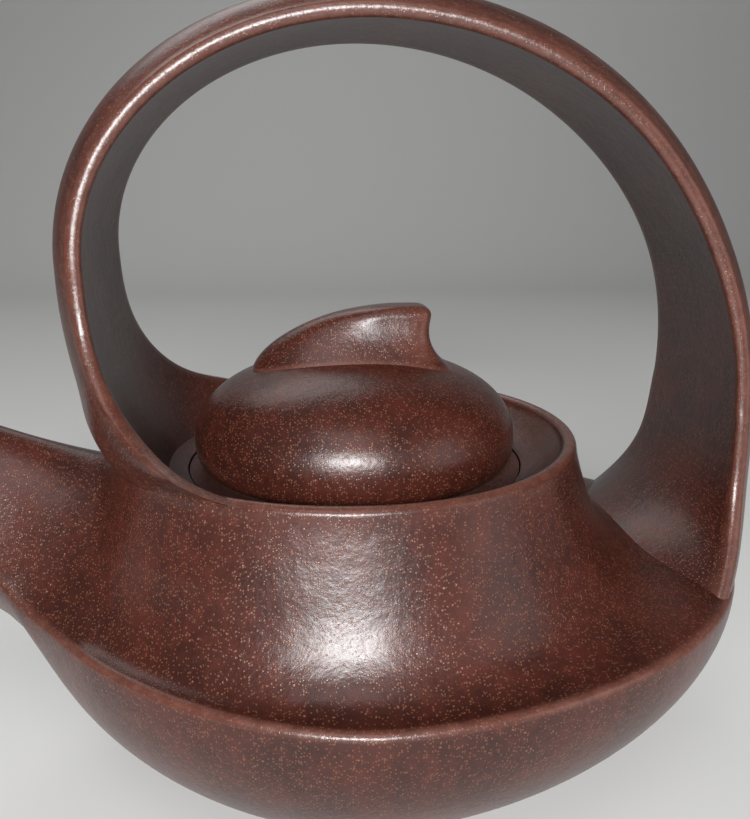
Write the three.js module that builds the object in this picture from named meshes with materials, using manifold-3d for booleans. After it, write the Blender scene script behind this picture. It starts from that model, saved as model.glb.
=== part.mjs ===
// Loop-handled clay teapot: a low ridged body, a wide collar, one strap that rises from the collar,
// passes over the lid and lands on the tail, a spout opposite the tail, and a lift-off lid.
// Millimetres. +Z is up, +X points to the tail, the spout is at -X and the table is at z = 0.
import * as THREE from 'three';
import { mergeVertices } from 'three/addons/utils/BufferGeometryUtils.js';
import Module from 'manifold-3d';

const wasm = await Module();
wasm.setup();

// Clearances between pieces
const jointGap = 0.3;
const seatGap = 0.3;
const flangeClearance = 0.7;

// Body heights above the table
const baseThickness = 4;
const ridgeHeight = 36;
const neckHeight = 50;
const rimHeight = 62;

// Body plan, measured from the lid axis
const footRadius = 27;
const halfWidth = 57;
const tailReach = 74;
const spoutSideReach = 62;
const tailFullness = 1.9;
const spoutSideFullness = 1.7;
const wall = 3.6;
const ridgeEdge = 1.2;
const tailRidgeRise = 2.2;

// Collar, dish and lid seat
const collarRadius = 40;
const collarSwell = 2.5;
const neckFlare = 4.5;
const lipHalf = 1.3;
const dishThickness = 3;
const seatOuterRadius = 31.6;
const seatHeight = 55.6;
const seatThickness = 3;
const mouthRadius = 24.5;

// Lid
const lidRadius = 30;
const lidRise = 15.4;
const lidWidestAboveSeat = 4.6;
const lidWall = 3.4;
const lidFullness = 2.3;
const flangeDepth = 10;
const flangeThickness = 2.8;
const ventRadius = 1.1;
const ventOffset = 13.5;

// Knob, a fin along X
const knobRise = 9.2;
const knobLeft = 19;
const knobRight = 18;
const knobTopLeft = 4;
const knobTopRight = 12.5;
const knobBaseHalf = 10;
const knobTopHalf = 4.2;
const knobDrop = 2.5;
const knobSink = 6;
const knobRounding = 9;

// Loop handle: places of its inner edge line
const kneeReach = 66.8;
const kneeAboveRim = 6.5;
const footSweep = 7.8;
const loopTopX = 2.7;
const loopRise = 68.9;
const leftReach = 44.2;
const leftAboveRim = 31.9;
const leftFootLength = 34;
const leftFootFullness = 2.6;
const strapEdge = 2.6;
const lipEdge = 1.8;

// How far the middle of the strap's inner face leaves its edge line at the two feet
const tailBack = 9;
const tailLift = 4;
const fanBack = 21;
const fanDrop = 7;

// Spout
const spoutTipX = -92;
const spoutTipTop = 76;
const spoutTipBottom = 62;
const spoutTipHalf = 7;
const spoutRootX = -40;
const spoutRootTop = 56;
const spoutRootBottom = 12;
const spoutRootHalf = 36;
const spoutWall = 3;

// Strainer over the hole in the bowl
const drainRadius = 5.5;
const drainHeight = 28.5;
const strainerRadius = 11.5;
const strainerWall = 2.4;
const strainerHole = 1.2;
const strainerHoles = 7;

// Facet counts
const aroundBody = 48;
const aroundLid = 40;
const aroundSpout = 24;
const aroundKnob = 24;

const redClay = { name: 'fired red clay', color: 0x5f2f27, roughness: 0.42, metalness: 0 };
const darkClay = { name: 'inner clay', color: 0x4a2822, roughness: 0.6, metalness: 0 };

// Value at a place along keys of [place, value], by a smooth curve through them all
function through(keys, place) {
  const last = keys.length - 1;
  let index = 0;
  while (index < last - 1 && place > keys[index + 1][0]) {
    index += 1;
  }
  const slope = (low, high) => (keys[high][1] - keys[low][1]) / (keys[high][0] - keys[low][0]);
  const start = slope(Math.max(index - 1, 0), index + 1);
  const end = slope(index, Math.min(index + 2, last));
  const span = keys[index + 1][0] - keys[index][0];
  const t = (place - keys[index][0]) / span;
  const from = keys[index][1];
  const to = keys[index + 1][1];
  return from * (1 + 2 * t) * (1 - t) ** 2 + to * t * t * (3 - 2 * t)
    + start * span * t * (1 - t) ** 2 - end * span * t * t * (1 - t);
}

// Geometry with shared vertices, no flat faces and its faces turned outward
function closedBody(source) {
  const bare = new THREE.BufferGeometry();
  bare.setAttribute('position', source.getAttribute('position').clone());
  bare.setIndex(source.index.clone());
  const merged = mergeVertices(bare, 1e-4);
  const corners = [...merged.index.array];
  const spot = (corner) => new THREE.Vector3().fromBufferAttribute(merged.getAttribute('position'), corner);
  const faces = [];
  let volume = 0;
  for (let face = 0; face < corners.length; face += 3) {
    const [a, b, c] = corners.slice(face, face + 3);
    if (a !== b && b !== c && c !== a) {
      faces.push([a, b, c]);
      volume += spot(a).dot(spot(b).cross(spot(c)));
    }
  }
  merged.setIndex(faces.flatMap(([a, b, c]) => (volume < 0 ? [a, c, b] : [a, b, c])));
  return merged;
}

function toSolid(source) {
  const body = closedBody(source);
  return new wasm.Manifold(new wasm.Mesh({
    numProp: 3,
    vertProperties: new Float32Array(body.getAttribute('position').array),
    triVerts: new Uint32Array(body.index.array),
  }));
}

function toGeometry(solid) {
  const mesh = solid.getMesh();
  const geometry = new THREE.BufferGeometry();
  geometry.setAttribute('position', new THREE.BufferAttribute(new Float32Array(mesh.vertProperties), 3));
  geometry.setIndex([...mesh.triVerts]);
  geometry.computeVertexNormals();
  return geometry;
}

// Closed body through a row of rings with equal point counts. A looped row joins its last ring to its
// first, and any other row has a fan of faces over each end.
function ringBody(rings, looped) {
  const count = rings[0].length;
  const points = rings.flat();
  const faces = [];
  const joins = looped ? rings.length : rings.length - 1;
  for (let row = 0; row < joins; row += 1) {
    const here = row * count;
    const next = ((row + 1) % rings.length) * count;
    for (let step = 0; step < count; step += 1) {
      const after = (step + 1) % count;
      faces.push(here + step, here + after, next + after, here + step, next + after, next + step);
    }
  }
  if (!looped) {
    const centreOf = (ring) => ring.reduce((sum, point) => sum.add(point), new THREE.Vector3())
      .divideScalar(count);
    const lastRow = (rings.length - 1) * count;
    points.push(centreOf(rings[0]), centreOf(rings[rings.length - 1]));
    for (let step = 0; step < count; step += 1) {
      const after = (step + 1) % count;
      faces.push(points.length - 2, after, step, points.length - 1, lastRow + step, lastRow + after);
    }
  }
  const geometry = new THREE.BufferGeometry().setFromPoints(points);
  geometry.setIndex(faces);
  return geometry;
}

// Body turned about the lid axis from a profile of [radius, height] pairs
function turned(profile, segments, closed) {
  const points = profile.map(([radius, height]) => new THREE.Vector2(radius, height));
  if (closed) {
    points.push(points[0].clone());
  }
  return new THREE.LatheGeometry(points, segments).rotateX(Math.PI / 2);
}

// Half of a superellipse quarter: how far out a curve is when it is a share of the way up
const arch = (share, fullness) => (1 - Math.min(share, 1) ** fullness) ** (1 / fullness);

// Plan radius of the ridge toward an angle from the tail
function ridgeRadius(angle) {
  const along = Math.cos(angle);
  const reach = along > 0 ? tailReach : spoutSideReach;
  const fullness = along > 0 ? tailFullness : spoutSideFullness;
  const shares = Math.abs(along / reach) ** fullness + Math.abs(Math.sin(angle) / halfWidth) ** fullness;
  return shares ** (-1 / fullness);
}

// The collar swells a little under the strap
const rimRadius = (angle) => collarRadius + collarSwell * Math.max(0, -Math.cos(angle)) ** 2;
const neckRadius = (angle) => rimRadius(angle) + neckFlare;

function ringAt(radiusOf, heightOf) {
  return Array.from({ length: aroundBody }, (_, step) => {
    const angle = (step / aroundBody) * 2 * Math.PI;
    const radius = radiusOf(angle);
    return new THREE.Vector3(radius * Math.cos(angle), radius * Math.sin(angle), heightOf(angle));
  });
}

// Bowl profile at a turn from 0 at the ridge to a quarter turn at the foot, drawn in by an inset
const bowlRadius = (angle, turn, inset) => {
  const foot = footRadius - inset;
  return foot + (ridgeRadius(angle) - inset - foot) * Math.cos(turn);
};
const bowlHeight = (turn, inset) => {
  const foot = baseThickness + jointGap + inset;
  return ridgeHeight - (ridgeHeight - foot) * Math.sin(turn);
};
const quarterTurn = Math.PI / 2;
const bowlTurns = Array.from({ length: 9 }, (_, step) => (step / 8) * quarterTurn);

// Shoulder profile: a share of 0 at the neck and 1 at the ridge, steeper in the valley at the tail
const tailShare = (angle) => Math.max(0, Math.cos(angle)) ** 4;
const shoulderEdgeHeight = (angle) => ridgeHeight + jointGap + ridgeEdge + tailRidgeRise * tailShare(angle);
const shoulderHeight = (angle, share) => {
  const edge = shoulderEdgeHeight(angle);
  return edge + (neckHeight - edge) * (1 - share) ** (2.4 + 3.6 * tailShare(angle));
};
const shoulderRadius = (angle, share) => {
  const neck = neckRadius(angle);
  return neck + (ridgeRadius(angle) - ridgeEdge - neck) * share;
};
const shoulderShares = [0, 0.04, 0.1, 0.2, 0.35, 0.55, 0.78, 1];

// Shoulder profile drawn in by the wall, square to the outer face
function shoulderInside(angle, share) {
  const step = 0.02;
  const low = Math.max(share - step, 0);
  const high = Math.min(share + step, 1);
  const across = shoulderRadius(angle, high) - shoulderRadius(angle, low);
  const down = shoulderHeight(angle, low) - shoulderHeight(angle, high);
  const length = Math.hypot(across, down);
  return [
    shoulderRadius(angle, share) - wall * (down / length),
    Math.max(shoulderHeight(angle, share) - wall * (across / length), ridgeHeight + jointGap),
  ];
}

// Filled outer form of bowl, shoulder and collar, grown by a gap, that other pieces are cut by
function bodyForm(grow) {
  const rings = [ringAt(() => footRadius + grow, () => -grow)];
  for (const turn of [...bowlTurns].reverse()) {
    rings.push(ringAt((angle) => bowlRadius(angle, turn, 0) + grow, () => bowlHeight(turn, 0)));
  }
  for (const share of [...shoulderShares].reverse()) {
    rings.push(ringAt(
      (angle) => shoulderRadius(angle, share) + (share === 1 ? ridgeEdge : 0) + grow,
      (angle) => shoulderHeight(angle, share) + grow,
    ));
  }
  rings.push(ringAt((angle) => rimRadius(angle) + lipHalf + grow, () => rimHeight - 2 * lipHalf));
  rings.push(ringAt((angle) => rimRadius(angle) + lipHalf + grow, () => rimHeight + grow));
  return toSolid(ringBody(rings, false));
}

// Form of the room inside the bowl, drawn in by a gap
function roomForm(gap) {
  const rings = bowlTurns.map((turn) => ringAt(
    (angle) => bowlRadius(angle, turn, wall) - gap,
    () => bowlHeight(turn, wall) + gap * Math.sin(turn),
  ));
  return toSolid(ringBody(rings, false));
}

// Spout sections stand across X. Each has a top, a bottom, a half width and a widest height.
const spoutShare = (x) => (x - spoutRootX) / (spoutTipX - spoutRootX);
function spoutRing(x, inset, points) {
  const share = spoutShare(x);
  const bow = share * share * (3 - 2 * share);
  const top = spoutRootTop + (spoutTipTop - spoutRootTop) * share ** 1.3 - inset;
  const bottom = spoutRootBottom + (spoutTipBottom - spoutRootBottom) * share ** 1.8 + inset;
  const half = spoutTipHalf + (spoutRootHalf - spoutTipHalf) * (1 - share) ** 1.7 - inset;
  const widest = bottom + (top - bottom) * (0.42 + 0.08 * bow);
  return Array.from({ length: points }, (_, step) => {
    const turn = (step / points) * 2 * Math.PI;
    const rise = Math.sin(turn);
    const height = rise > 0 ? (top - widest) * rise : (widest - bottom) * rise;
    const fullness = rise > 0 ? 1 + 0.5 * (1 - share) * rise : 1;
    return new THREE.Vector3(x, half * Math.sign(Math.cos(turn)) * Math.abs(Math.cos(turn)) ** fullness,
      widest + height);
  });
}

function spoutForm(inset, overrun) {
  const steps = 11;
  const reach = spoutTipX - overrun;
  return toSolid(ringBody(Array.from({ length: steps + 1 }, (_, step) => {
    const x = spoutRootX + (reach - spoutRootX) * (step / steps);
    const ring = spoutRing(Math.max(x, spoutTipX), inset, aroundSpout);
    return ring.map((point) => new THREE.Vector3(x, point.y, point.z));
  }), false));
}

// Strap widths and thicknesses along the loop: 0 tail foot, 1 knee, 2 top, 3 left side, 4 collar
const strapHalf = [
  [0, 29], [0.5, 19.2], [1, 15.9], [1.3, 12.4], [1.6, 12], [2, 10.2], [2.5, 9.8],
  [3, 13.4], [3.2, 15.8], [3.5, 23.2], [3.75, 33], [4, 38.6],
];
const strapDepth = [
  [0, 15], [0.3, 11.6], [0.6, 10], [1, 9.2], [1.3, 8], [1.7, 7.6], [2, 7], [2.5, 7.2], [3, 7.4], [3.5, 8.4],
  [4, 6],
];

// Inner edge line of the strap in the plane y = 0, with the way out from the loop
function edgeAt(place) {
  const kneeHeight = rimHeight + kneeAboveRim;
  const topHeight = rimHeight + loopRise;
  const sideHeight = rimHeight + leftAboveRim;
  if (place <= 1) {
    const left = 1 - place;
    return [kneeReach - footSweep * left ** 3, ridgeHeight + (kneeHeight - ridgeHeight) * place];
  }
  if (place <= 2) {
    const turn = (place - 1) * quarterTurn;
    return [loopTopX + (kneeReach - loopTopX) * Math.cos(turn),
      kneeHeight + (topHeight - kneeHeight) * Math.sin(turn)];
  }
  if (place <= 3) {
    const turn = (place - 2) * quarterTurn;
    return [loopTopX - (leftReach + loopTopX) * Math.sin(turn),
      sideHeight + (topHeight - sideHeight) * Math.cos(turn)];
  }
  const turn = Math.min(place - 3, 1) * quarterTurn;
  const power = 2 / leftFootFullness;
  return [leftFootLength - leftReach - leftFootLength * Math.max(Math.cos(turn), 0) ** power,
    sideHeight - leftAboveRim * Math.sin(turn) ** power];
}

function edgeOutward(place) {
  const step = 0.004;
  const [x0, z0] = edgeAt(Math.max(place - step, 0));
  const [x1, z1] = edgeAt(Math.min(place + step, 4));
  const length = Math.hypot(x1 - x0, z1 - z0);
  return [(z1 - z0) / length, -(x1 - x0) / length];
}

// One section of the strap: the inner face from back to front, then the domed outer face
function strapRing(place, innerPoints, outerPoints) {
  const [x, z] = edgeAt(place);
  const [outX, outZ] = edgeOutward(place);
  const half = through(strapHalf, place);
  const depth = through(strapDepth, place);
  const tail = Math.max(0, 1 - place);
  const fan = Math.max(0, place - 3);
  const edge = strapEdge + (lipEdge - strapEdge) * fan;
  const middleX = x - tailBack * tail ** 4 - fanBack * fan ** 2.6;
  const middleZ = z + tailLift * tail ** 2 - fanDrop * fan ** 2;
  const inner = (across) => new THREE.Vector3(
    middleX + (x - middleX) * across ** 2, half * across, middleZ + (z - middleZ) * across ** 2);
  const outer = (across) => {
    const reach = edge + (depth - edge) * (1 - across ** 2) ** 0.9;
    const flat = new THREE.Vector3(x + outX * reach, half * across, z + outZ * reach);
    const from = inner(across);
    const radial = new THREE.Vector3(from.x, from.y, 0).normalize();
    const round = from.clone().addScaledVector(radial, reach);
    return flat.lerp(round, THREE.MathUtils.smoothstep(fan, 0, 0.5));
  };
  const row = (count) => Array.from({ length: count }, (_, step) => 1 - (2 * step) / (count - 1));
  return [
    ...row(innerPoints).map((across) => inner(across)),
    ...row(outerPoints).map((across) => outer(-across)),
  ];
}

function strapForm() {
  const places = [];
  const stretches = [[0, 1, 6], [1, 2, 12], [2, 3, 12], [3, 4, 11]];
  for (const [from, to, count] of stretches) {
    for (let step = 0; step < count; step += 1) {
      places.push(from + ((to - from) * step) / count);
    }
  }
  places.push(4);
  return toSolid(ringBody(places.map((place) => strapRing(place, 7, 11)), false));
}

function block(low, high) {
  const size = high.map((value, axis) => value - low[axis]);
  const middle = high.map((value, axis) => (value + low[axis]) / 2);
  return toSolid(new THREE.BoxGeometry(...size).translate(...middle));
}

function peg(from, to, radius, sides) {
  const span = new THREE.Vector3().subVectors(to, from);
  const rod = new THREE.CylinderGeometry(radius, radius, span.length(), sides);
  const along = span.clone().normalize();
  const turn = new THREE.Quaternion().setFromUnitVectors(new THREE.Vector3(0, 1, 0), along);
  const middle = from.clone().add(to).multiplyScalar(0.5);
  return toSolid(rod.applyQuaternion(turn).translate(middle.x, middle.y, middle.z));
}

// Pot
function makeBase() {
  const chamfer = 0.8;
  return turned([
    [0, 0], [footRadius - chamfer, 0], [footRadius, chamfer],
    [footRadius, baseThickness], [0, baseThickness],
  ], aroundBody, false);
}

function makeBowl() {
  const rings = bowlTurns.map((turn) => ringAt(
    (angle) => bowlRadius(angle, turn, 0),
    () => bowlHeight(turn, 0),
  ));
  rings.push(ringAt(() => footRadius - wall, () => bowlHeight(quarterTurn, 0)));
  for (const turn of [...bowlTurns].reverse()) {
    rings.push(ringAt((angle) => bowlRadius(angle, turn, wall), () => bowlHeight(turn, wall)));
  }
  const drain = peg(new THREE.Vector3(-spoutSideReach - wall, 0, drainHeight),
    new THREE.Vector3(-footRadius, 0, drainHeight), drainRadius, 20);
  return toGeometry(toSolid(ringBody(rings, true)).subtract(drain));
}

function makeShoulder() {
  const rings = [ringAt(ridgeRadius, () => ridgeHeight + jointGap)];
  rings.push(ringAt(ridgeRadius, (angle) => shoulderEdgeHeight(angle) - ridgeEdge / 2));
  for (const share of [...shoulderShares].reverse()) {
    rings.push(ringAt((angle) => shoulderRadius(angle, share), (angle) => shoulderHeight(angle, share)));
  }
  rings.push(ringAt((angle) => neckRadius(angle) - wall, () => neckHeight));
  for (const share of shoulderShares.slice(1, -1)) {
    rings.push(ringAt((angle) => shoulderInside(angle, share)[0], (angle) => shoulderInside(angle, share)[1]));
  }
  rings.push(ringAt((angle) => ridgeRadius(angle) - wall, () => ridgeHeight + jointGap));
  return ringBody(rings, true);
}

function makeCollar() {
  const foot = neckHeight + jointGap;
  const height = rimHeight - foot;
  const dishFoot = seatOuterRadius;
  const rim = (offset) => (angle) => rimRadius(angle) + offset;
  const level = (value) => () => value;
  return ringBody([
    ringAt(neckRadius, level(foot)),
    ringAt(rim(lipHalf + 1.4), level(foot + height * 0.42)),
    ringAt(rim(lipHalf + 0.3), level(foot + height * 0.75)),
    ringAt(rim(lipHalf), level(rimHeight - lipHalf)),
    ringAt(rim(lipHalf * 0.6), level(rimHeight - lipHalf * 0.3)),
    ringAt(rim(0), level(rimHeight)),
    ringAt(rim(-lipHalf * 0.7), level(rimHeight - lipHalf * 0.4)),
    ringAt(rim(-lipHalf), level(rimHeight - lipHalf)),
    ringAt((angle) => dishFoot + (rimRadius(angle) - dishFoot) * 0.45, level(seatHeight + 1.7)),
    ringAt(level(dishFoot), level(seatHeight)),
    ringAt(level(dishFoot), level(seatHeight - dishThickness)),
    ringAt((angle) => dishFoot + (rimRadius(angle) - dishFoot) * 0.7,
      level(seatHeight - dishThickness + 2.6)),
    ringAt((angle) => neckRadius(angle) - wall - 1.6, level(foot + height * 0.3)),
    ringAt((angle) => neckRadius(angle) - wall, level(foot)),
  ], true);
}

function makeSeat() {
  const outer = seatOuterRadius - jointGap;
  return turned([
    [mouthRadius, seatHeight - seatThickness], [outer, seatHeight - seatThickness],
    [outer, seatHeight], [mouthRadius, seatHeight],
  ], aroundBody, true);
}

function makeHandle() {
  const below = block([0, -halfWidth, 0], [tailReach * 2, halfWidth, ridgeHeight + jointGap]);
  return toGeometry(strapForm().subtract(bodyForm(jointGap)).subtract(spoutForm(-jointGap, jointGap))
    .subtract(below));
}

function makeSpout() {
  return toGeometry(spoutForm(0, 0).subtract(spoutForm(spoutWall, 5)).subtract(bodyForm(jointGap)));
}

function makeStrainer() {
  const centre = new THREE.Vector3(-spoutSideReach + wall, 0, drainHeight);
  const ball = (radius) => toSolid(
    new THREE.SphereGeometry(radius, 20, 14).translate(...centre.toArray()),
  );
  let shell = ball(strainerRadius).subtract(ball(strainerRadius - strainerWall));
  for (let hole = 0; hole < strainerHoles; hole += 1) {
    const spread = hole === 0 ? 0 : 0.62;
    const around = (hole / (strainerHoles - 1)) * 2 * Math.PI;
    const way = new THREE.Vector3(Math.cos(spread), Math.sin(spread) * Math.cos(around),
      Math.sin(spread) * Math.sin(around));
    const inside = centre.clone().addScaledVector(way, strainerRadius - 2 * strainerWall);
    const outside = centre.clone().addScaledVector(way, strainerRadius + 1);
    shell = shell.subtract(peg(inside, outside, strainerHole, 8));
  }
  return toGeometry(shell.intersect(roomForm(jointGap)));
}

// Lid
const lidFoot = seatHeight + seatGap;
const lidWidest = lidFoot + lidWidestAboveSeat;
const lidTop = lidWidest + lidRise;
const flangeOuter = mouthRadius - flangeClearance;
const lidInner = flangeOuter + jointGap;

// Dome profile from the axis out to its widest, drawn in by an inset
function domeProfile(reach, rise, steps) {
  return Array.from({ length: steps + 1 }, (_, step) => {
    const radius = reach * Math.sin((step / steps) * quarterTurn);
    return [radius, lidWidest + rise * arch(radius / reach, lidFullness)];
  });
}

function lidDomeForm(grow) {
  const outside = domeProfile(lidRadius + grow, lidRise + grow, 9);
  const under = [[lidRadius - 0.7, lidFoot + lidWidestAboveSeat * 0.35], [lidRadius - 2.4, lidFoot]];
  return toSolid(turned([...outside, ...under, [0, lidFoot]], aroundLid, false));
}

function makeLidDome() {
  const hollow = domeProfile(lidInner, lidRise - lidWall, 6);
  const room = toSolid(turned([...hollow, [lidInner, lidFoot - 1], [0, lidFoot - 1]], aroundLid, false));
  const vent = peg(new THREE.Vector3(0, ventOffset, lidFoot), new THREE.Vector3(0, ventOffset, lidTop + 2),
    ventRadius, 10);
  return toGeometry(lidDomeForm(0).subtract(room).subtract(vent));
}

function makeFlange() {
  const inner = flangeOuter - flangeThickness;
  const top = lidWidest - jointGap;
  return turned([
    [inner, lidFoot - flangeDepth], [flangeOuter - 0.6, lidFoot - flangeDepth],
    [flangeOuter, lidFoot - flangeDepth + 1], [flangeOuter, top], [inner, top],
  ], aroundLid, true);
}

// Fin in level slices: long at its foot, drawn in to the top strip, with the tail end scooped
function makeKnob() {
  const levels = [0, 0.2, 0.4, 0.58, 0.74, 0.88, 0.97, 1];
  const foot = lidTop - knobSink;
  const rings = levels.map((level) => {
    const height = foot + (knobRise + knobSink) * level;
    const above = THREE.MathUtils.clamp((height - lidTop + knobDrop) / (knobRise + knobDrop), 0, 1);
    const left = knobTopLeft - (knobTopLeft + knobLeft) * arch(above, 1.6);
    const right = knobTopRight + (knobRight - knobTopRight) * (1 - above) ** 3
      - knobRounding * Math.max(0, above - 0.85);
    const half = knobTopHalf + (knobBaseHalf - knobTopHalf) * (1 - above) ** 2.2
      - knobRounding * Math.max(0, above - 0.85);
    const middle = (left + right) / 2;
    return Array.from({ length: aroundKnob }, (_, step) => {
      const turn = (step / aroundKnob) * 2 * Math.PI;
      const reach = (right - left) / 2;
      const side = Math.abs(Math.sin(turn)) ** 0.75 * Math.sign(Math.sin(turn));
      return new THREE.Vector3(middle + reach * Math.cos(turn), half * side, height);
    });
  });
  return toGeometry(toSolid(ringBody(rings, false)).subtract(lidDomeForm(jointGap)));
}

function piece(name, geometry, finish) {
  const mesh = new THREE.Mesh(closedBody(geometry), new THREE.MeshStandardMaterial(finish));
  mesh.name = name;
  return mesh;
}

const pot = new THREE.Group();
pot.name = 'pot';
pot.add(
  piece('base_disc', makeBase(), darkClay),
  piece('bowl', makeBowl(), redClay),
  piece('shoulder', makeShoulder(), redClay),
  piece('collar', makeCollar(), redClay),
  piece('lid_seat', makeSeat(), darkClay),
  piece('loop_handle', makeHandle(), redClay),
  piece('spout', makeSpout(), redClay),
  piece('ball_strainer', makeStrainer(), darkClay),
);

const lid = new THREE.Group();
lid.name = 'lid';
lid.add(
  piece('lid_dome', makeLidDome(), redClay),
  piece('lid_flange', makeFlange(), darkClay),
  piece('lid_knob', makeKnob(), redClay),
);

const teapot = new THREE.Group();
teapot.name = 'loop_handled_teapot';
teapot.add(pot, lid);

export default teapot;
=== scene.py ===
import logging
import math
from dataclasses import dataclass, field
from enum import Enum
from typing import Sequence

import bmesh
import bpy
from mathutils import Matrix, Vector


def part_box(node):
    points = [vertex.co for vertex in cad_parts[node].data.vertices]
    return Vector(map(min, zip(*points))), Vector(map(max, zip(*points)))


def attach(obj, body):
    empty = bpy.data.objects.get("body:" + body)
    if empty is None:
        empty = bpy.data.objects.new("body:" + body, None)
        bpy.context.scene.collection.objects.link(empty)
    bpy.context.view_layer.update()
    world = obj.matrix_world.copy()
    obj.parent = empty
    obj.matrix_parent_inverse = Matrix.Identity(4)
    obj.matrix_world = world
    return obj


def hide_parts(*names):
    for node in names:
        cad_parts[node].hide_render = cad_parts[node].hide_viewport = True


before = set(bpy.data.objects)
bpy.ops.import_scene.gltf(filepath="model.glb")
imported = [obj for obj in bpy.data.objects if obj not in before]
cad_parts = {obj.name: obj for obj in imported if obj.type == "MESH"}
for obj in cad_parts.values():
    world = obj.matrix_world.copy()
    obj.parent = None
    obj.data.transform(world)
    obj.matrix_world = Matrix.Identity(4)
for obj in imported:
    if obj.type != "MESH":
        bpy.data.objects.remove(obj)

LOG = logging.getLogger("teapot")
MM = 0.001
Point = tuple[float, float, float]
Spot = tuple[float, float, float, float]


def mix(start: float, end: float, share: float) -> float:
    """Return the value at a share of the way from start to end."""
    return start + (end - start) * share


def ease(value: float, low: float, high: float) -> float:
    """Return 0 below low, 1 above high and a smooth rise between them."""
    share = min(max((value - low) / (high - low), 0.0), 1.0)
    return share * share * (3 - 2 * share)


def rounded_max(first: float, second: float, radius: float) -> float:
    """Return the larger of two heights, with a fillet where they cross.

    Args:
        first: One height.
        second: The other height.
        radius: How far apart the two may be and still blend.

    Returns:
        The blended height.
    """
    share = min(max(0.5 + 0.5 * (first - second) / radius, 0.0), 1.0)
    return mix(second, first, share) + radius * share * (1 - share)


def through(keys: Sequence[tuple[float, float]], place: float) -> float:
    """Return the value at a place on a smooth curve through keys.

    Args:
        keys: Pairs of place and value, in rising order of place.
        place: Where the curve is read.

    Returns:
        The value of the curve there.
    """
    last = len(keys) - 1
    index = 0
    while index < last - 1 and place > keys[index + 1][0]:
        index += 1

    def slope(low: int, high: int) -> float:
        """Return the slope between two keys."""
        return (keys[high][1] - keys[low][1]) / (keys[high][0] - keys[low][0])

    start = slope(max(index - 1, 0), index + 1)
    end = slope(index, min(index + 2, last))
    span = keys[index + 1][0] - keys[index][0]
    t = (place - keys[index][0]) / span
    values = keys[index][1] * (1 + 2 * t) * (1 - t) ** 2 + keys[index + 1][1] * t * t * (3 - 2 * t)
    return values + start * span * t * (1 - t) ** 2 - end * span * t * t * (1 - t)


class Clay(Enum):
    """The clays of the pot, named as the record's material slots."""

    POLISHED = "red_clay"
    INNER = "inner_clay"


@dataclass
class Socket:
    """One value in a shader, with Python operators that add Math nodes."""

    sheet: "NodeSheet"
    link: object

    def _math(self, operation: str, *values: object) -> "Socket":
        """Return the result of a Math node on some values."""
        inputs = dict(enumerate(values))
        return self.sheet.add("ShaderNodeMath", {"operation": operation}, inputs)

    def __add__(self, other: object) -> "Socket":
        """Return this value plus another."""
        return self._math("ADD", self, other)

    def __mul__(self, other: object) -> "Socket":
        """Return this value times another."""
        return self._math("MULTIPLY", self, other)

    def __sub__(self, other: object) -> "Socket":
        """Return this value less another."""
        return self._math("SUBTRACT", self, other)

    def __rsub__(self, other: object) -> "Socket":
        """Return another value less this one."""
        return self._math("SUBTRACT", other, self)

    __radd__ = __add__
    __rmul__ = __mul__


class NodeSheet:
    """The node tree of one material."""

    def __init__(self, name: str) -> None:
        """Make an empty material with its output.

        Args:
            name: The material's name.
        """
        self.material = bpy.data.materials.new(name)
        self.material.use_nodes = True
        self.tree = self.material.node_tree
        self.tree.nodes.clear()

    def add(self, kind: str, settings: dict[str, object], inputs: dict[object, object],
            output: object = 0) -> Socket:
        """Add one node and return one of its outputs.

        Args:
            kind: The node's type.
            settings: Properties set before anything is linked.
            inputs: Values or sockets by input name or number.
            output: Name or number of the output that is returned.

        Returns:
            The output, wrapped for expressions.
        """
        node = self.tree.nodes.new(kind)
        for key, value in settings.items():
            setattr(node, key, value)
        for key, value in inputs.items():
            if isinstance(value, Socket):
                self.tree.links.new(value.link, node.inputs[key])
            else:
                node.inputs[key].default_value = value
        return Socket(self, node.outputs[output] if len(node.outputs) else None)

    def blend(self, factor: object, first: object, second: object) -> Socket:
        """Return a mix of two colours."""
        settings = {"data_type": "RGBA"}
        return self.add("ShaderNodeMix", settings, {0: factor, 6: first, 7: second}, 2)

    def spread(self, value: Socket, low: float, high: float) -> Socket:
        """Return a value stretched so that low gives 0 and high gives 1."""
        inputs = {"Value": value, "From Min": low, "From Max": high}
        return self.add("ShaderNodeMapRange", {"interpolation_type": "SMOOTHSTEP"}, inputs)


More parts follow.
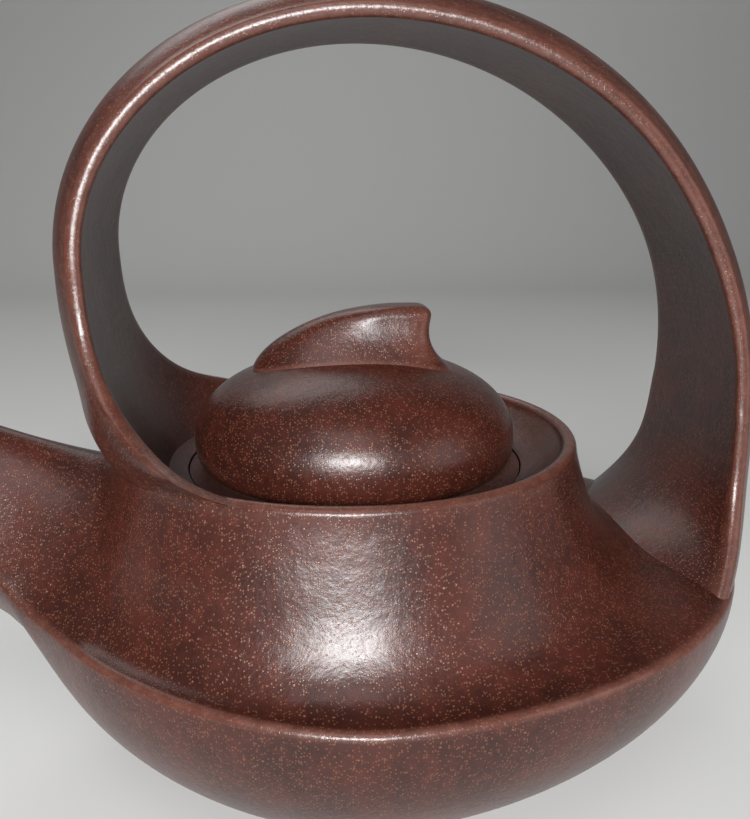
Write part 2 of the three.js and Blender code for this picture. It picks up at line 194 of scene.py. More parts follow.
@dataclass(frozen=True)
class ClayFinish:
    """Fired sandy clay: mottled, speckled with grains and worn pale on its edges."""

    name: str
    light: tuple[float, float, float]
    dark: tuple[float, float, float]
    grain: tuple[float, float, float]
    worn: tuple[float, float, float]
    roughness: float
    coat: float
    bump: float

    def material(self) -> bpy.types.Material:
        """Build the finish as a material on Object coordinates.

        Returns:
            The new material.
        """
        sheet = NodeSheet(self.name)
        place = sheet.add("ShaderNodeTexCoord", {}, {}, "Object")

        def noise(scale: float, detail: float, rough: float = 0.6) -> Socket:
            """Return a noise value at a scale in cycles per metre."""
            inputs = {"Vector": place, "Scale": scale, "Detail": detail, "Roughness": rough}
            return sheet.add("ShaderNodeTexNoise", {}, inputs, 0)

        def grains(scale: float, radius: float, share: float) -> Socket:
            """Return 1 inside a share of round grains and 0 outside them."""
            inputs = {"Vector": place, "Scale": scale}
            distance = sheet.add("ShaderNodeTexVoronoi", {}, inputs, "Distance")
            colour = sheet.add("ShaderNodeTexVoronoi", {}, inputs, "Color")
            pick = sheet.add("ShaderNodeSeparateColor", {}, {0: colour}, 0)
            inside = 1 - sheet.spread(distance, radius * 0.5, radius)
            return inside * sheet.spread(pick, 1 - share - 0.02, 1 - share + 0.02)

        mottle = sheet.spread(noise(70.0, 5.0), 0.36, 0.66)
        patch = sheet.spread(noise(480.0, 4.0), 0.4, 0.68)
        body = sheet.blend(mottle * 0.55 + patch * 0.35, (*self.dark, 1.0), (*self.light, 1.0))
        fine = grains(2700.0, 0.46, 0.42)
        coarse = grains(1600.0, 0.36, 0.13)
        speckled = sheet.blend(fine * 0.42 + coarse * 0.42, body, (*self.grain, 1.0))
        wear = sheet.add("ShaderNodeAttribute", {"attribute_name": "wear"}, {}, "Fac")
        broken = wear * (0.55 + sheet.spread(noise(520.0, 3.0), 0.3, 0.7) * 0.45)
        colour = sheet.blend(broken, speckled, (*self.worn, 1.0))
        grainy = noise(1900.0, 3.0, 0.7)
        soft = noise(170.0, 3.0)
        roughness = grainy * 0.16 + (self.roughness - 0.1) + soft * 0.06 - wear * 0.04
        height = grainy * 0.5 + noise(620.0, 2.0) * 0.7 + soft * 2.2 - coarse * 0.6 + fine * 0.25
        bump = sheet.add("ShaderNodeBump", {}, {"Strength": self.bump, "Distance": 0.00012,
                                                "Height": height})
        shader = sheet.add("ShaderNodeBsdfPrincipled", {}, {
            "Base Color": colour, "Roughness": roughness, "Normal": bump, "IOR": 1.44,
            "Coat Weight": self.coat, "Coat Roughness": 0.24, "Coat IOR": 1.5,
        })
        sheet.add("ShaderNodeOutputMaterial", {}, {"Surface": shader})
        return sheet.material


FINISHES = {
    Clay.POLISHED: ClayFinish(
        "polished_red_clay", (0.06, 0.0125, 0.0075), (0.024, 0.0058, 0.0038), (0.2, 0.083, 0.04),
        (0.115, 0.044, 0.031), 0.32, 0.1, 0.6),
    Clay.INNER: ClayFinish(
        "unpolished_inner_clay", (0.07, 0.022, 0.016), (0.035, 0.012, 0.0095), (0.2, 0.09, 0.06),
        (0.15, 0.07, 0.055), 0.6, 0.0, 0.7),
}


@dataclass
class Skin:
    """Makes a finished piece from a grid whose corners are moved to a form."""

    materials: dict[Clay, bpy.types.Material] = field(default_factory=dict)

    def clay(self, clay: Clay) -> bpy.types.Material:
        """Return the material of a clay, made when it is first asked for."""
        if clay not in self.materials:
            self.materials[clay] = FINISHES[clay].material()
        return self.materials[clay]

    def grid(self, columns: Sequence[Sequence[Spot]]) -> bmesh.types.BMesh:
        """Move a grid's corners to columns of spots and close its seams.

        Args:
            columns: Columns of equal length, each spot x, y, z and wear in millimetres.

        Returns:
            The mesh, with doubles merged.
        """
        mesh = bmesh.new()
        wear = mesh.verts.layers.float.new("wear")
        across, along = len(columns) - 1, len(columns[0]) - 1
        bmesh.ops.create_grid(mesh, x_segments=across, y_segments=along, size=1.0)
        for corner in mesh.verts:
            column = columns[round((corner.co.x + 1) / 2 * across)]
            x, y, z, worn = column[round((corner.co.y + 1) / 2 * along)]
            corner.co = Vector((x, y, z)) * MM
            corner[wear] = worn
        bmesh.ops.remove_doubles(mesh, verts=mesh.verts, dist=1e-7)
        bmesh.ops.dissolve_degenerate(mesh, edges=mesh.edges, dist=1e-8)
        return mesh

    def close(self, mesh: bmesh.types.BMesh) -> None:
        """Fill the open ends of a mesh and turn its faces out."""
        edges = [edge for edge in mesh.edges if edge.is_boundary]
        if edges:
            bmesh.ops.holes_fill(mesh, edges=edges, sides=0)
        bmesh.ops.recalc_face_normals(mesh, faces=mesh.faces)

    def finish(self, mesh: bmesh.types.BMesh, name: str, clay: Clay, body: str,
               nodes: Sequence[str], crease: float = 50.0) -> bpy.types.Object:
        """Turn a mesh into a piece that stands for its CAD nodes.

        Args:
            mesh: The closed mesh, in metres in the row frame.
            name: The piece's name.
            clay: Its clay.
            body: The CAD body that it rides on.
            nodes: The CAD nodes that it stands for.
            crease: Edges sharper than this many degrees stay crisp.

        Returns:
            The new object.
        """
        for face in mesh.faces:
            face.smooth = True
        for edge in mesh.edges:
            if len(edge.link_faces) == 2 and edge.calc_face_angle(0.0) > math.radians(crease):
                edge.smooth = False
        data = bpy.data.meshes.new(name)
        mesh.to_mesh(data)
        mesh.free()
        data.materials.append(self.clay(clay))
        piece = bpy.data.objects.new(name, data)
        bpy.context.scene.collection.objects.link(piece)
        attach(piece, body)
        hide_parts(*nodes)
        LOG.info("%s: %d faces", name, len(data.polygons))
        return piece

    def turned(self, profile: Sequence[tuple[float, float, float]], steps: int) -> bmesh.types.BMesh:
        """Spin a profile about the lid axis.

        Args:
            profile: Radius, height and wear of each point, in millimetres.
            steps: How many steps make the full turn.

        Returns:
            The closed mesh.
        """
        mesh = bmesh.new()
        wear = mesh.verts.layers.float.new("wear")
        corners = []
        for radius, height, worn in profile:
            corner = mesh.verts.new((radius * MM, 0.0, height * MM))
            corner[wear] = worn
            corners.append(corner)
        edges = [mesh.edges.new(pair) for pair in zip(corners, corners[1:])]
        bmesh.ops.spin(mesh, geom=corners + edges, cent=(0, 0, 0), axis=(0, 0, 1), dvec=(0, 0, 0),
                       angle=2 * math.pi, steps=steps, use_merge=True, use_duplicate=False)
        bmesh.ops.remove_doubles(mesh, verts=mesh.verts, dist=1e-7)
        bmesh.ops.dissolve_degenerate(mesh, edges=mesh.edges, dist=1e-8)
        bmesh.ops.recalc_face_normals(mesh, faces=mesh.faces)
        return mesh


@dataclass
class PotForm:
    """Sizes and curves of the pot in millimetres, taken from the frame where it gives them."""

    rim: float = 0.0
    ridge: float = 0.0
    half_width: float = 0.0
    tail: float = 0.0
    spout_side: float = 0.0
    foot: float = 0.0
    neck_height: float = 0.0
    collar: float = 40.0
    swell: float = 2.5
    neck_flare: float = 4.5
    lip: float = 1.3
    wall: float = 3.6
    seat_radius: float = 31.6
    seat_height: float = 55.6
    spout_tip: float = -92.0
    spout_root: float = -40.0
    spout_tip_half: float = 6.6
    spout_root_half: float = 36.0
    spout_end: float = 5.0

    def __post_init__(self) -> None:
        """Read the driving sizes from the CAD nodes' boxes."""
        low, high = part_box("bowl")
        self.ridge = high[2] / MM
        self.half_width = high[1] / MM
        self.tail = high[0] / MM
        self.spout_side = -low[0] / MM
        self.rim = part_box("collar")[1][2] / MM
        self.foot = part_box("base_disc")[1][0] / MM
        self.neck_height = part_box("shoulder")[1][2] / MM
        self.spout_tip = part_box("spout")[0][0] / MM

    def outline(self, angle: float) -> float:
        """Return the ridge's plan radius toward an angle from the tail, without the spout."""
        along = math.cos(angle)
        reach, fullness = (self.tail, 1.9) if along > 0 else (self.spout_side, 1.7)
        shares = abs(along / reach) ** fullness + abs(math.sin(angle) / self.half_width) ** fullness
        return shares ** (-1 / fullness)

    def rim_radius(self, angle: float) -> float:
        """Return the plan radius of the collar's lip, which swells under the strap."""
        return self.collar + self.swell * max(0.0, -math.cos(angle)) ** 2

    def spout_half(self, x: float) -> float:
        """Return the spout's half width at a place along X, closed past its tip."""
        share = min(max((x - self.spout_root) / (self.spout_tip - self.spout_root), 0.0), 1.0)
        half = self.spout_tip_half + (self.spout_root_half - self.spout_tip_half) * (1 - share) ** 1.7
        past = min(max((self.spout_tip - x) / self.spout_end, 0.0), 1.0)
        return half * math.sqrt(1 - past * past)

    def spout_top(self, x: float) -> float:
        """Return the height of the spout's top line."""
        share = max((x - self.spout_root) / (self.spout_tip - self.spout_root), 0.0)
        return mix(self.rim - 6.0, self.rim + 13.4, share ** 1.3)

    def spout_widest(self, x: float) -> float:
        """Return the height at which the spout is widest, the ridge's own height at its root."""
        share = max((-50.0 - x) / (-50.0 - self.spout_tip), 0.0)
        return self.ridge + 1.0 + (self.rim + 6.5 - self.ridge) * share ** 1.45

    def spout_reach(self, angle: float) -> float:
        """Return the plan radius at which a ray from the lid axis leaves the spout."""
        low, high = 30.0, -self.spout_tip + self.spout_end
        if math.cos(angle) > -0.3:
            return low
        for _ in range(34):
            middle = (low + high) / 2
            if abs(middle * math.sin(angle)) < self.spout_half(middle * math.cos(angle)):
                low = middle
            else:
                high = middle
        return low

    def edge(self, angle: float) -> tuple[float, float, float]:
        """Return radius, height and spout share of the ridge line toward an angle."""
        plain, spout = self.outline(angle), self.spout_reach(angle)
        radius = rounded_max(spout, plain, 2.5)
        share = ease(spout - plain, -2.0, 5.0)
        height = mix(self.ridge + 1.4, self.spout_widest(radius * math.cos(angle)), share)
        return radius, height, share

    def shoulder_height(self, angle: float, radius: float) -> float:
        """Return the height of the shoulder's face, spout left out."""
        neck = self.rim_radius(angle) + self.neck_flare
        valley = max(0.0, math.cos(angle)) ** 4
        share = min(max((radius - neck) / (self.outline(angle) - 1.0 - neck), 0.0), 1.0)
        foot = self.ridge + 1.4 + 2.2 * valley
        return foot + (self.neck_height - foot) * (1 - share) ** (2.4 + 3.6 * valley)

    def upper_height(self, angle: float, radius: float) -> float:
        """Return the height of the upper face, shoulder and spout blended."""
        x, y = radius * math.cos(angle), radius * math.sin(angle)
        shoulder = self.shoulder_height(angle, radius)
        if x > self.spout_root + 10:
            return shoulder
        share = min((x - self.spout_root) / (self.spout_tip - self.spout_root), 1.0)
        round_share = ease(share, 0.35, 0.9)
        part = min(abs(y) / max(self.spout_half(x), 0.01), 1.0)
        bell = (1 - part ** mix(1.7, 2.0, round_share)) ** mix(1.35, 0.5, round_share)
        widest = self.spout_widest(x)
        fade = 12.0 * (1 - ease(self.spout_root - x, -10.0, 6.0))
        spout = widest + (self.spout_top(x) - widest) * bell - fade
        return rounded_max(spout, shoulder, 4.0 * (1 - round_share) + 0.4)


@dataclass
class PotBody:
    """The outer body: bowl, ridge, shoulder, collar, dish and spout in one clay skin."""

    form: PotForm
    skin: Skin
    around: int = 380
    bowl_steps: int = 34
    shoulder_steps: int = 38

    def outer_profile(self, angle: float) -> list[tuple[float, float, float]]:
        """Return the outer face toward an angle, from the foot up to the lid seat.

        Args:
            angle: Plan angle from the tail, in radians.

        Returns:
            Radius, height and wear of each point.
        """
        form = self.form
        radius, height, spout = form.edge(angle)
        foot, bottom = form.foot, 4.3
        fullness = mix(2.0, 1.45, spout)
        points = [(foot - form.wall, bottom, 0.0), (foot - 0.4, bottom, 0.0)]
        for step in range(self.bowl_steps, 0, -1):
            turn = step / self.bowl_steps * math.pi / 2
            out = math.cos(turn) ** (2 / fullness)
            down = math.sin(turn) ** (2 / fullness)
            points.append((mix(foot, radius, out), mix(height - 1.3, bottom, down), 0.0))
        worn = 0.85 - 0.6 * spout
        for out, up, wear in ((0.0, -1.3, 0.1), (0.05, -0.85, 0.55), (0.3, -0.4, 1.0),
                              (0.7, -0.12, 0.9), (1.25, 0.0, 0.4)):
            points.append((radius - out, height + up, wear * worn))
        neck = form.rim_radius(angle) + form.neck_flare
        reach = radius - 1.25
        offset = height - form.upper_height(angle, reach)
        for step in range(self.shoulder_steps - 1, -1, -1):
            share = math.sin(step / self.shoulder_steps * math.pi / 2)
            out = mix(neck, reach, share)
            level = form.upper_height(angle, out) + offset * share ** 6
            points.append((out, level, 0.25 * worn * ease(share, 0.96, 1.0)))
        points += self.collar_profile(angle, points[-1][1])
        return points

    def collar_profile(self, angle: float, start: float) -> list[tuple[float, float, float]]:
        """Return the collar from its neck over the lip and down the dish.

        Args:
            angle: Plan angle from the tail.
            start: Height at which the neck leaves the shoulder or the spout.

        Returns:
            Radius, height and wear of each point.
        """
        form = self.form
        lip = form.rim_radius(angle)
        top = form.rim - form.lip
        points = []
        for step in range(1, 15):
            share = step / 14
            out = lip + form.lip + (form.neck_flare - form.lip) * (1 - share) ** 1.25
            points.append((out, mix(start, top, share), 0.12 * ease(share, 0.8, 1.0)))
        for step in range(1, 12):
            turn = step / 12 * math.pi
            wear = math.sin(turn) ** 1.5 * 0.95
            points.append((lip + form.lip * math.cos(turn), top + form.lip * math.sin(turn), wear))
        for step in range(0, 15):
            share = step / 14
            out = mix(lip - form.lip, form.seat_radius, share)
            fall = 1 - (1 - share) ** 1.7
            points.append((out, mix(top, form.seat_height + 0.2, fall), 0.15 * (1 - share) ** 4))
        return points

    def inner_profile(self, angle: float) -> list[tuple[float, float, float]]:
        """Return the inner wall from the dish's underside down to the foot.

        Args:
            angle: Plan angle from the tail.

        Returns:
            Radius, height and wear of each point.
        """
        form = self.form
        lip = form.rim_radius(angle)
        plain = form.outline(angle)
        neck = lip + form.neck_flare - form.wall
        points = [(form.seat_radius, form.seat_height - 2.8, 0.0),
                  (mix(form.seat_radius, lip, 0.6), form.seat_height - 1.0, 0.0),
                  (neck - 1.2, form.neck_height + 3.0, 0.0)]
        for step in range(0, 11):
            share = step / 10
            out = mix(neck, plain - form.wall, share)
            level = form.shoulder_height(angle, out + form.wall * 0.7) - form.wall * 0.9
            points.append((out, max(level, form.ridge - 1.0), 0.0))
        inner_foot, floor = form.foot - form.wall, 7.9
        for step in range(1, 13):
            turn = step / 12 * math.pi / 2
            points.append((mix(inner_foot, plain - form.wall, math.cos(turn)),
                           mix(form.ridge - 1.0, floor, math.sin(turn)), 0.0))
        points.append((inner_foot, 4.3, 0.0))
        return points

    def angle_at(self, step: int) -> float:
        """Return the plan angle of a column, with columns closer together on the spout."""
        share = 2 * step / self.around - 1
        return math.pi + math.pi * share * (0.5 + 0.5 * share * share)

    def build(self) -> bpy.types.Object:
        """Build the body, cut its spout open and dress it.

        Returns:
            The body's object.
        """
        columns = []
        for step in range(self.around + 1):
            angle = self.angle_at(step)
            profile = self.outer_profile(angle) + self.inner_profile(angle)
            columns.append([(radius * math.cos(angle), radius * math.sin(angle), height, wear)
                            for radius, height, wear in profile])
        mesh = self.skin.grid(columns)
        self.open_spout(mesh)
        bmesh.ops.recalc_face_normals(mesh, faces=mesh.faces)
        return self.skin.finish(mesh, "pot_body", Clay.POLISHED, "pot",
                                ["bowl", "shoulder", "collar", "spout"])

    def open_spout(self, mesh: bmesh.types.BMesh) -> None:
        """Cut the spout's tip off level with its mouth and sink the bore into it.

        Args:
            mesh: The body's mesh, changed in place.
        """
        slant = Vector((-0.86, 0.0, 0.51)).normalized()
        place = Vector((self.form.spout_tip + 6.4, 0.0, self.form.rim + 8.0)) * MM
        whole = mesh.verts[:] + mesh.edges[:] + mesh.faces[:]
        bmesh.ops.bisect_plane(mesh, geom=whole, dist=1e-7, plane_co=place, plane_no=slant,
                               clear_outer=True)
        rim = [edge for edge in mesh.edges if edge.is_boundary]
        wear = mesh.verts.layers.float["wear"]
        corners = {corner for edge in rim for corner in edge.verts}
        centre = sum((corner.co for corner in corners), Vector()) / len(corners)
        size, level = 1.0, 0.0
        for target, depth, worn in ((0.9, 0.5, 0.7), (0.76, 0.5, 0.6), (0.68, -0.4, 0.2),
                                    (0.62, -5.0, 0.0), (0.55, -14.0, 0.0)):
            made = bmesh.ops.extrude_edge_only(mesh, edges=rim)["geom"]
            for corner in (item for item in made if isinstance(item, bmesh.types.BMVert)):
                middle = centre + slant * level * MM
                corner.co = middle + (corner.co - middle) * target / size + slant * (depth - level) * MM
                corner[wear] = worn
            rim = [item for item in made if isinstance(item, bmesh.types.BMEdge)]
            size, level = target, depth
        bmesh.ops.holes_fill(mesh, edges=rim, sides=0)


@dataclass
class LoopStrap:
    """The loop handle: a domed strap from the collar, over the lid and down to the tail."""

    form: PotForm
    skin: Skin
    knee_reach: float = 66.8
    knee_rise: float = 6.5
    foot_sweep: float = 7.8
    top_x: float = 2.7
    top_rise: float = 68.9
    left_reach: float = 44.2
    left_rise: float = 31.9
    left_length: float = 34.0
    left_fullness: float = 2.6
    edge_depth: float = 2.6
    lip_depth: float = 1.8
    nose: float = 0.8
    halves: tuple[tuple[float, float], ...] = (
        (0, 29), (0.5, 19.2), (1, 15.9), (1.3, 12.4), (1.6, 12), (2, 10.2), (2.5, 9.8),
        (3, 13.4), (3.2, 15.8), (3.5, 23.2), (3.75, 33), (4, 38.6))
    depths: tuple[tuple[float, float], ...] = (
        (0, 15), (0.3, 11.6), (0.6, 10), (1, 9.2), (1.3, 8), (1.7, 7.6), (2, 7), (2.5, 7.2),
        (3, 7.4), (3.5, 8.6), (3.75, 12), (4, 16.5))

    def line(self, place: float) -> tuple[float, float]:
        """Return x and height of the inner edge line at a place from 0, tail, to 4, collar.

        Args:
            place: 0 is the tail foot, 1 the knee, 2 the top, 3 the left side, 4 the collar.

        Returns:
            The two coordinates.
        """
        form = self.form
        knee, top, side = form.rim + self.knee_rise, form.rim + self.top_rise, form.rim + self.left_rise
        if place <= 1:
            sweep = self.foot_sweep * (1 - place) ** 3
            return self.knee_reach - sweep, mix(form.ridge, knee, place)
        turn = (place % 1 if place < 4 else 1.0) * math.pi / 2
        if place <= 2:
            turn = (place - 1) * math.pi / 2
            return mix(self.top_x, self.knee_reach, math.cos(turn)), mix(knee, top, math.sin(turn))
        if place <= 3:
            turn = (place - 2) * math.pi / 2
            return mix(self.top_x, -self.left_reach, math.sin(turn)), mix(side, top, math.cos(turn))
        power = 2 / self.left_fullness
        x = self.left_length - self.left_reach - self.left_length * max(math.cos(turn), 0.0) ** power
        return x, side - self.left_rise * math.sin(turn) ** power

    def outward(self, place: float) -> tuple[float, float]:
        """Return the way out from the loop in the plane of the loop."""
        low, high = self.line(max(place - 0.004, 0.0)), self.line(min(place + 0.004, 4.0))
        across, up = high[0] - low[0], high[1] - low[1]
        length = math.hypot(across, up)
        return up / length, -across / length

    def section(self, place: float, inner_steps: int = 26, outer_steps: int = 34) -> list[Spot]:
        """Return one closed section of the strap.

        Args:
            place: Where on the loop the section stands.
            inner_steps: Steps over the inner face.
            outer_steps: Steps over the domed outer face.

        Returns:
            Spots round the section, the last equal to the first.
        """
        form = self.form
        x, z = self.line(place)
        out_x, out_z = self.outward(place)
        sink = ease(place, 3.7, 4.0)
        z -= 1.3 * sink
        half, depth = through(self.halves, place) - 1.7 * sink, through(self.depths, place)
        tail, fan = max(0.0, 1 - place), max(0.0, place - 3)
        edge = mix(self.edge_depth, self.lip_depth, fan)
        middle_x = x - 9 * tail ** 4 - 21 * fan ** 2.6
        middle_z = z + 4 * tail ** 2 - 7 * fan ** 2
        hollow = 0.5 * (1 - tail) * (1 - fan)

        def inner(across: float) -> Vector:
            """Return a point of the inner face."""
            bow = hollow * (1 - across ** 2)
            return Vector((mix(middle_x, x, across ** 2) + out_x * bow, half * across,
                           mix(middle_z, z, across ** 2) + out_z * bow))

        def outer(across: float) -> Vector:
            """Return a point of the outer face."""
            reach = edge + (depth - edge) * (1 - across ** 2) ** 0.9
            flat = Vector((x + out_x * reach, half * across, z + out_z * reach))
            start = inner(across)
            radial = Vector((start.x, start.y, 0.0))
            collar = form.rim_radius(math.atan2(start.y, start.x)) + 0.9 - radial.length
            reach = mix(reach, max(collar, edge), ease(place, 3.5, 3.9))
            return flat.lerp(start + radial.normalized() * reach, ease(fan, 0.0, 0.5))

        spots = []
        for step in range(inner_steps + 1):
            across = 1 - 2 * step / inner_steps
            worn = ease(abs(across) * half, half - 1.6, half - 0.2)
            spots.append((*inner(across), 0.5 * worn))
        spots += self.round_edge(inner(-1), outer(-1), -1)
        for step in range(outer_steps + 1):
            across = -1 + 2 * step / outer_steps
            worn = ease(abs(across) * half, half - 2.2, half - 0.2)
            spots.append((*outer(across), 0.45 * worn))
        spots += self.round_edge(outer(1), inner(1), 1)
        spots.append(spots[0])
        return spots

    def round_edge(self, start: Vector, end: Vector, side: int) -> list[Spot]:
        """Return the rounded nose between the two faces on one side.

        Args:
            start: Where the nose leaves one face.
            end: Where it meets the other.
            side: Which side of the strap, as a sign.

        Returns:
            The nose's spots, without its ends.
        """
        spots = []
        for step in range(1, 8):
            turn = step / 8 * math.pi
            point = start.lerp(end, (1 - math.cos(turn)) / 2)
            point.y += side * self.nose * math.sin(turn)
            spots.append((*point, 0.6))
        return spots

    def build(self) -> bpy.types.Object:
        """Build the strap and dress it.

        Returns:
            The strap's object.
        """
        stretches = ((0, 1, 30), (1, 2, 56), (2, 3, 56), (3, 4, 56))
        places = [start + (end - start) * step / count
                  for start, end, count in stretches for step in range(count)] + [4.0]
        mesh = self.skin.grid([self.section(place) for place in places])
        self.skin.close(mesh)
        return self.skin.finish(mesh, "loop_strap", Clay.POLISHED, "pot", ["loop_handle"])


@dataclass
class Lid:
    """The lift-off lid: domed cover, locating flange and fin knob."""

    skin: Skin
    radius: float = 30.0
    bottom: float = 55.9
    widest: float = 60.5
    rise: float = 15.4
    fullness: float = 2.3
    flange_radius: float = 23.8
    knob_rise: float = 9.2
    knob_drop: float = 2.5
    vent_radius: float = 1.1
    vent_offset: float = 13.5
    vent_depth: float = 3.0

    def __post_init__(self) -> None:
        """Read the lid's sizes from the frame."""
        low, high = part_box("lid_dome")
        self.radius, self.bottom = high[0] / MM, low[2] / MM
        self.widest = self.bottom + 4.6
        self.rise = high[2] / MM - self.widest
        self.flange_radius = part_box("lid_flange")[1][0] / MM
        self.knob_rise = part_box("lid_knob")[1][2] / MM - high[2] / MM

    def cover(self) -> bpy.types.Object:
        """Build the domed cover.

        Returns:
            The cover's object.
        """
        profile = []
        for step in range(40):
            share = math.sin(step / 40 * math.pi / 2)
            height = (1 - share ** self.fullness) ** (1 / self.fullness)
            profile.append((self.radius * share, self.widest + self.rise * height, 0.0))
        for step in range(0, 13):
            turn = step / 12 * math.pi / 2
            out = self.radius - 2.6 * (1 - math.cos(turn))
            profile.append((out, mix(self.widest, self.bottom + 0.4, math.sin(turn)), 0.0))
        inside = self.flange_radius + 0.3
        profile += [(self.radius - 3.1, self.bottom, 0.3), (inside + 0.4, self.bottom, 0.1),
                    (inside, self.bottom + 0.4, 0.0)]
        for step in range(20, -1, -1):
            share = math.sin(step / 20 * math.pi / 2)
            height = (1 - share ** self.fullness) ** (1 / self.fullness)
            profile.append((inside * share, self.widest + (self.rise - 3.4) * height, 0.0))
        mesh = self.skin.turned(profile, 144)
        self.sink_vent(mesh)
        return self.skin.finish(mesh, "lid_cover", Clay.POLISHED, "lid", ["lid_dome"])

    def sink_vent(self, mesh: bmesh.types.BMesh) -> None:
        """Sink the small round vent into the cover behind the knob.

        Args:
            mesh: The cover's mesh, changed in place.
        """
        vent = Vector((0.0, self.vent_offset, 0.0)) * MM
        inside = [face for face in mesh.faces
                  if face.normal.z > 0.3
                  and (face.calc_center_median().xy - vent.xy).length < self.vent_radius * 1.05 * MM]
        edges = {edge for face in inside for edge in face.edges
                 if sum(other in inside for other in edge.link_faces) == 1}
        for corner in {corner for edge in edges for corner in edge.verts}:
            way = (corner.co.xy - vent.xy).normalized() * self.vent_radius * MM
            corner.co.x, corner.co.y = vent.x + way.x, vent.y + way.y
            spread = corner.co.xy.length / MM / self.radius
            corner.co.z = (self.widest + self.rise * (1 - spread ** self.fullness)
                           ** (1 / self.fullness)) * MM
        made = bmesh.ops.extrude_face_region(mesh, geom=inside)["geom"]
        floor = [item for item in made if isinstance(item, bmesh.types.BMVert)]
        bmesh.ops.translate(mesh, verts=floor, vec=(0.0, 0.0, -self.vent_depth * MM))
        bmesh.ops.delete(mesh, geom=[face for face in inside if face.is_valid], context="FACES")
        bmesh.ops.recalc_face_normals(mesh, faces=mesh.faces)

    def flange(self) -> bpy.types.Object:
        """Build the locating flange under the cover.

        Returns:
            The flange's object.
        """
        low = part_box("lid_flange")[0][2] / MM
        outer, inner, top = self.flange_radius, self.flange_radius - 2.8, self.widest - 0.3
        profile = [(inner, top, 0.0), (outer, top, 0.0), (outer, low + 1.4, 0.0),
                   (outer - 0.5, low + 0.4, 0.0), (outer - 1.4, low, 0.2), (inner + 0.6, low, 0.2),
                   (inner, low + 0.6, 0.0), (inner, top, 0.0)]
        mesh = self.skin.turned(profile, 128)
        return self.skin.finish(mesh, "flange_ring", Clay.INNER, "lid", ["lid_flange"], 40.0)

    def knob_spot(self, level: float, turn: float) -> Spot:
        """Return one spot of the fin.

        Args:
            level: 0 at the foot inside the cover, 1 at the top strip.
            turn: Angle round the level section, 0 at the tail end.

        Returns:
            The spot, with its wear.
        """
        top = self.widest + self.rise
        foot = top - 6.0
        height = foot + (self.knob_rise + 6.0) * level
        above = min(max((height - top + self.knob_drop) / (self.knob_rise + self.knob_drop), 0.0), 1.0)
        crown = max(0.0, above - 0.82) / 0.18
        drop = 1 - math.sqrt(max(1 - crown * crown, 0.0))
        left = 4.0 - 23.0 * (1 - above ** 1.6) ** (1 / 1.6) + 2.2 * drop
        scoop = 1.5 * math.sin(math.pi * min(above / 0.9, 1.0)) * (1 - above) ** 0.4
        right = 14.2 + 3.8 * (1 - above) ** 2.4 - scoop - 2.4 * drop
        half = 4.3 + 5.4 * (1 - above) ** 2.0 - 2.1 * drop
        middle, reach = (left + right) / 2, (right - left) / 2
        along, side = math.cos(turn), math.sin(turn)
        power = mix(1.0, 0.42, ease(along, -0.3, 0.7))
        x = middle + reach * math.copysign(abs(along) ** mix(1.0, 0.5, ease(along, 0.0, 0.8)), along)
        y = half * math.copysign(abs(side) ** power, side)
        spread = min(math.hypot(x, y) / self.radius, 1.0)
        over = height - self.widest - self.rise * (1 - spread ** self.fullness) ** (1 / self.fullness)
        foot_line = 0.6 * (1 - ease(over, 0.2, 0.75))
        wear = max(0.45 * ease(above, 0.86, 0.97) * (1 - drop * 0.5), foot_line)
        corner = ease(along, 0.35, 0.72) * (1 - ease(along, 0.86, 0.99)) * ease(above, 0.05, 0.3)
        return x, y, height, max(wear, 0.5 * corner)

    def knob(self) -> bpy.types.Object:
        """Build the fin knob.

        Returns:
            The knob's object.
        """
        levels = [step / 44 for step in range(36)] + [mix(35 / 44, 1.0, math.sin(step / 16 * math.pi / 2))
                                                      for step in range(1, 17)]
        columns = [[self.knob_spot(level, step / 96 * 2 * math.pi) for level in levels]
                   for step in range(97)]
        mesh = self.skin.grid(columns)
        self.skin.close(mesh)
        return self.skin.finish(mesh, "fin_knob", Clay.POLISHED, "lid", ["lid_knob"], 60.0)

    def build(self) -> None:
        """Build the whole lid."""
        self.cover()
        self.flange()
        self.knob()


@dataclass
class InnerParts:
    """The base disc, the lid seat and the strainer inside the bowl."""

    skin: Skin
    form: PotForm

    def base(self) -> bpy.types.Object:
        """Build the flat base disc with a softened lower edge.

        Returns:
            The disc's object.
        """
        radius, top = self.form.foot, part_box("base_disc")[1][2] / MM
        profile = [(0.0, 0.0, 0.0), (radius - 1.2, 0.0, 0.3), (radius - 0.4, 0.3, 0.5),
                   (radius, 1.0, 0.2), (radius, top, 0.0), (0.0, top, 0.0)]
        mesh = self.skin.turned(profile, 144)
        return self.skin.finish(mesh, "foot_disc", Clay.INNER, "pot", ["base_disc"], 40.0)

    def seat(self) -> bpy.types.Object:
        """Build the ring that the lid rests on.

        Returns:
            The ring's object.
        """
        low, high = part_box("lid_seat")
        inner, outer = 24.5, high[0] / MM
        bottom, top = low[2] / MM, high[2] / MM
        profile = [(inner, bottom + 0.5, 0.0), (inner + 0.5, bottom, 0.0), (outer, bottom, 0.0),
                   (outer, top, 0.0), (inner + 0.6, top, 0.2), (inner, top - 0.6, 0.3),
                   (inner, bottom + 0.5, 0.0)]
        mesh = self.skin.turned(profile, 144)
        return self.skin.finish(mesh, "seat_ring", Clay.INNER, "pot", ["lid_seat"], 40.0)

    def strainer(self) -> None:
        """Dress the strainer, whose faceted shape is hidden deep in the bowl."""
        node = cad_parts["ball_strainer"]
        node.data.materials.clear()
        node.data.materials.append(self.skin.clay(Clay.INNER))

    def build(self) -> None:
        """Build and dress all of them."""
        self.base()
        self.seat()
        self.strainer()


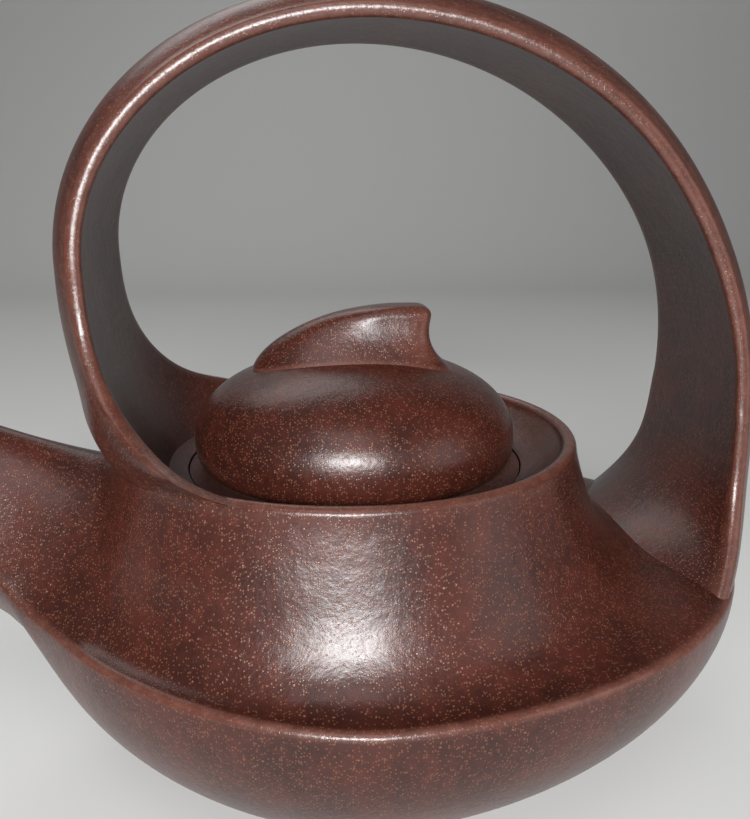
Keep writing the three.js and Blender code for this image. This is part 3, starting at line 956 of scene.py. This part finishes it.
@dataclass
class Studio:
    """Pale floor and backdrop, soft lamps and the camera."""

    form: PotForm
    lens: float = 33.01
    heading: float = 5.5825
    pitch: float = 15.525

    def camera(self) -> None:
        """Stand the camera where the photograph was taken."""
        data = bpy.data.cameras.new("camera")
        data.lens = self.lens
        data.sensor_width = 36.0
        data.clip_start, data.clip_end = 0.005, 20.0
        camera = bpy.data.objects.new("camera", data)
        bpy.context.scene.collection.objects.link(camera)
        turn = math.radians(4.0)
        camera.location = Vector((-138.3 * math.sin(turn), -138.3 * math.cos(turn),
                                  self.form.rim + 41.5)) * MM
        camera.rotation_euler = (math.radians(90.0 - self.pitch), 0.0, -math.radians(self.heading))
        bpy.context.scene.camera = camera

    def lamp(self, name: str, place: Point, aim: Point, size: tuple[float, float],
             power: float) -> None:
        """Hang one soft rectangular lamp.

        Args:
            name: The lamp's name.
            place: Where it hangs, in metres.
            aim: What it points at.
            size: Its width and height.
            power: Its power in watts.
        """
        data = bpy.data.lights.new(name, "AREA")
        data.shape = "RECTANGLE"
        data.size, data.size_y = size
        data.energy = power
        lamp = bpy.data.objects.new(name, data)
        bpy.context.scene.collection.objects.link(lamp)
        lamp.location = place
        lamp.rotation_euler = (Vector(aim) - Vector(place)).to_track_quat("-Z", "Y").to_euler()

    def floor(self) -> None:
        """Lay the pale floor that sweeps up into the backdrop."""
        mesh = bmesh.new()
        profile = [(-1.5, 0.0), (0.75, 0.0)]
        profile += [(0.75 + 0.5 * math.sin(step / 12 * math.pi / 2),
                     0.5 - 0.5 * math.cos(step / 12 * math.pi / 2)) for step in range(1, 13)]
        profile.append((1.25, 2.2))
        corners = [mesh.verts.new((-2.5, y, z)) for y, z in profile]
        edges = [mesh.edges.new(pair) for pair in zip(corners, corners[1:])]
        wide = bmesh.ops.extrude_edge_only(mesh, edges=edges)["geom"]
        moved = [item for item in wide if isinstance(item, bmesh.types.BMVert)]
        bmesh.ops.translate(mesh, verts=moved, vec=(5.0, 0.0, 0.0))
        bmesh.ops.recalc_face_normals(mesh, faces=mesh.faces)
        for face in mesh.faces:
            face.smooth = True
        data = bpy.data.meshes.new("floor")
        mesh.to_mesh(data)
        mesh.free()
        sheet = NodeSheet("pale_floor")
        shader = sheet.add("ShaderNodeBsdfPrincipled", {}, {
            "Base Color": (0.58, 0.58, 0.57, 1.0), "Roughness": 0.8})
        sheet.add("ShaderNodeOutputMaterial", {}, {"Surface": shader})
        data.materials.append(sheet.material)
        floor = bpy.data.objects.new("floor", data)
        bpy.context.scene.collection.objects.link(floor)

    def build(self) -> None:
        """Set up floor, camera, lamps and the plain world."""
        self.floor()
        self.camera()
        aim = (0.0, 0.0, 0.06)
        self.lamp("front_lamp", (-0.1, -0.68, 0.33), (0.0, -0.05, 0.05), (0.32, 0.11), 10.0)
        self.lamp("high_lamp", (-0.12, -0.42, 0.85), aim, (0.5, 0.35), 1.3)
        self.lamp("tail_lamp", (0.75, -0.5, 0.3), aim, (0.5, 0.7), 1.5)
        self.lamp("back_lamp", (-0.3, 0.7, 0.9), (0.0, 0.0, 0.08), (0.8, 0.4), 2.0)
        world = bpy.data.worlds.new("soft_room")
        world.use_nodes = True
        nodes, links = world.node_tree.nodes, world.node_tree.links
        room, seen = nodes["Background"], nodes.new("ShaderNodeBackground")
        room.inputs[0].default_value = (0.9, 0.92, 0.95, 1.0)
        room.inputs[1].default_value = 0.11
        seen.inputs[0].default_value = (0.5, 0.5, 0.49, 1.0)
        paths, choice = nodes.new("ShaderNodeLightPath"), nodes.new("ShaderNodeMixShader")
        links.new(paths.outputs["Is Camera Ray"], choice.inputs[0])
        links.new(room.outputs[0], choice.inputs[1])
        links.new(seen.outputs[0], choice.inputs[2])
        links.new(choice.outputs[0], nodes["World Output"].inputs[0])
        bpy.context.scene.world = world
        bpy.context.scene.view_settings.view_transform = "Standard"


def main() -> None:
    """Build the teapot's pieces in order and the studio round them."""
    logging.basicConfig(level=logging.INFO, format="%(name)s %(message)s")
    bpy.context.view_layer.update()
    skin = Skin()
    form = PotForm()
    PotBody(form, skin).build()
    LoopStrap(form, skin).build()
    Lid(skin).build()
    InnerParts(skin, form).build()
    Studio(form).build()


if __name__ == "__main__":
    main()
